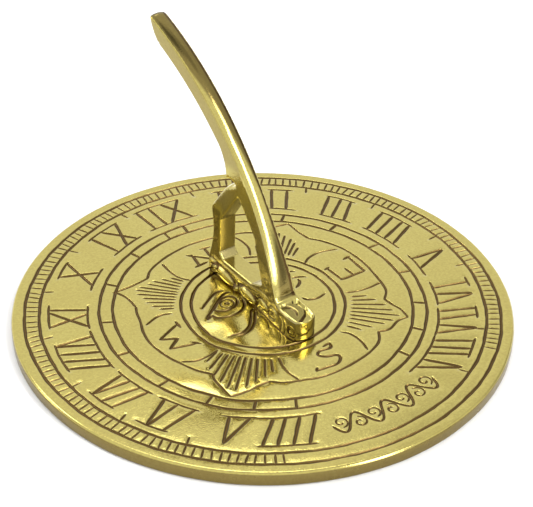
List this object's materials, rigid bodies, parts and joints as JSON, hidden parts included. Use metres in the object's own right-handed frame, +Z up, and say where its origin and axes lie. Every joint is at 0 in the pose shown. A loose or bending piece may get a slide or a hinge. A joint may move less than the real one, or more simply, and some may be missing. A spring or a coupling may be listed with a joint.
{
  "type": "garden sundial",
  "caption": "Round engraved brass horizontal sundial: a flat dial plate with Roman hours and a curved cast gnomon screwed on from below.",
  "frame": {"origin": "centre of the dial plate's underside, the face the sundial rests on", "axes": "+Z up, +Y towards the dial's north (the noon mark, where the gnomon's tip leans), +X towards its east"},
  "size_m": [0.2032, 0.2032, 0.1054],
  "materials": {
    "dial_brass": "polished, with dark patina in the engraving",
    "gnomon_brass": "polished casting",
    "screw_brass": "turned, as machined"
  },
  "bodies": {
    "root": {"dial_plate": "dial_brass", "gnomon": "gnomon_brass", "gnomon_screws": "screw_brass"}
  },
  "joints": []
}
